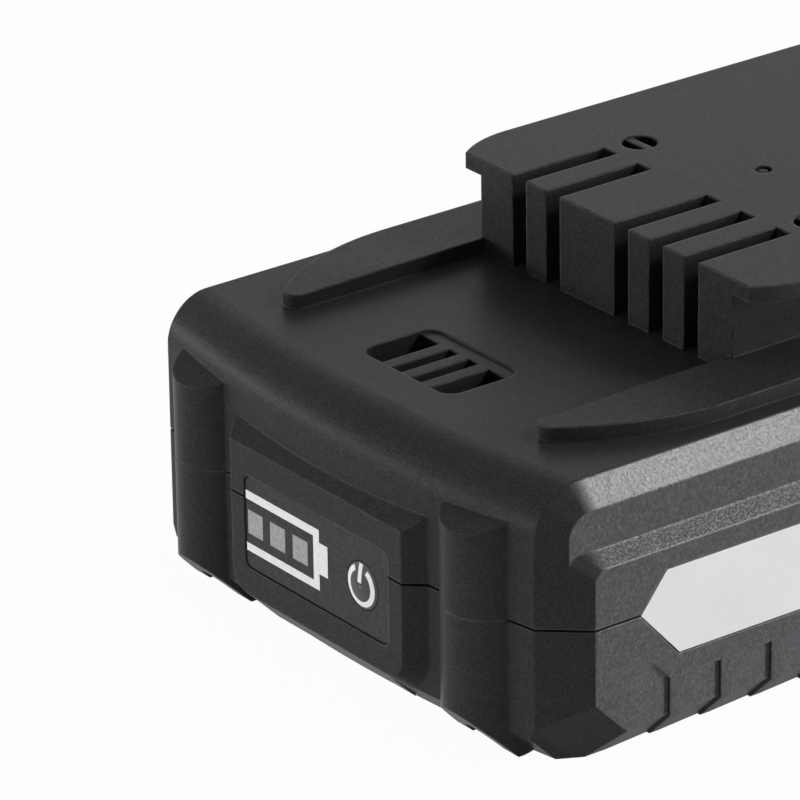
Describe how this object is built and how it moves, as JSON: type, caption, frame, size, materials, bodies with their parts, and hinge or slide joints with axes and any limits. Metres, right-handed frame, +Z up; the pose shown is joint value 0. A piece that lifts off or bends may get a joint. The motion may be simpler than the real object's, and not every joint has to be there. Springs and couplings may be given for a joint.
{
  "type": "power tool battery pack",
  "caption": "Slide-on rechargeable battery pack for power tools, with a slotted contact tower, rails, a charge indicator with button, and a sprung release latch.",
  "frame": {"origin": "middle of the base, on the surface that the pack stands on", "axes": "+Z up, -Y towards the charge indicator, from which the tool slides on, +X to the pack's right"},
  "size_m": [0.0766, 0.118, 0.0444],
  "materials": {
    "casing_plastic": "spark-eroded moulded plastic",
    "label_plastic": "smooth printed plate",
    "film_plastic": "matt printed film",
    "button_rubber": "matt",
    "clear_plastic": "clear moulded",
    "led_body": "cast resin",
    "switch_metal": "tinned",
    "board_laminate": "solder mask",
    "ribbon_film": "flat cable",
    "latch_plastic": "spark-eroded moulded plastic",
    "spring_steel": "drawn wire",
    "cell_sleeve": "shrunk sleeve over a steel can",
    "ring_paper": "insulating paper",
    "nickel": "nickel strip",
    "copper_alloy": "sprung copper alloy",
    "chip_resin": "moulded resin",
    "capacitor_can": "sleeved can",
    "connector_plastic": "moulded",
    "screw_steel": "zinc plated"
  },
  "bodies": {
    "pack": {"upper_casing": "casing_plastic", "lower_casing": "casing_plastic", "side_label": "label_plastic", "indicator_film": "film_plastic", "light_guide": "clear_plastic", "indicator_leds": "led_body", "tact_switch": "switch_metal", "indicator_board": "board_laminate", "indicator_ribbon": "ribbon_film", "latch_spring_left": "spring_steel", "latch_spring_right": "spring_steel", "cell_1": "cell_sleeve", "cell_2": "cell_sleeve", "cell_3": "cell_sleeve", "cell_4": "cell_sleeve", "cell_5": "cell_sleeve", "cell_insulators": "ring_paper", "cell_holder_left": "latch_plastic", "cell_holder_right": "latch_plastic", "bus_strips_left": "nickel", "bus_strips_right": "nickel", "end_sheet_left": "ring_paper", "end_sheet_right": "ring_paper", "main_board": "board_laminate", "terminal_block": "latch_plastic", "terminal_clips": "copper_alloy", "mosfets": "chip_resin", "controller_chip": "chip_resin", "shunt_resistor": "chip_resin", "capacitor": "capacitor_can", "ribbon_connector": "connector_plastic", "thermistor": "chip_resin", "casing_screws": "screw_steel", "board_screws": "screw_steel"},
    "charge_button": {"charge_button": "button_rubber"},
    "release_latch": {"release_latch": "latch_plastic"}
  },
  "joints": [
    {"name": "charge_button_press", "type": "slide", "parent": "pack", "child": "charge_button", "axis": [0, 1, 0], "range_m": [0, 0.0005], "stiffness_N_per_m": 2000, "springref_m": -0.0004},
    {"name": "release_latch_press", "type": "slide", "parent": "pack", "child": "release_latch", "axis": [0, 0, -1], "range_m": [0, 0.004], "stiffness_N_per_m": 1500, "springref_m": -0.003, "deforming": ["latch_spring_left", "latch_spring_right"]}
  ]
}
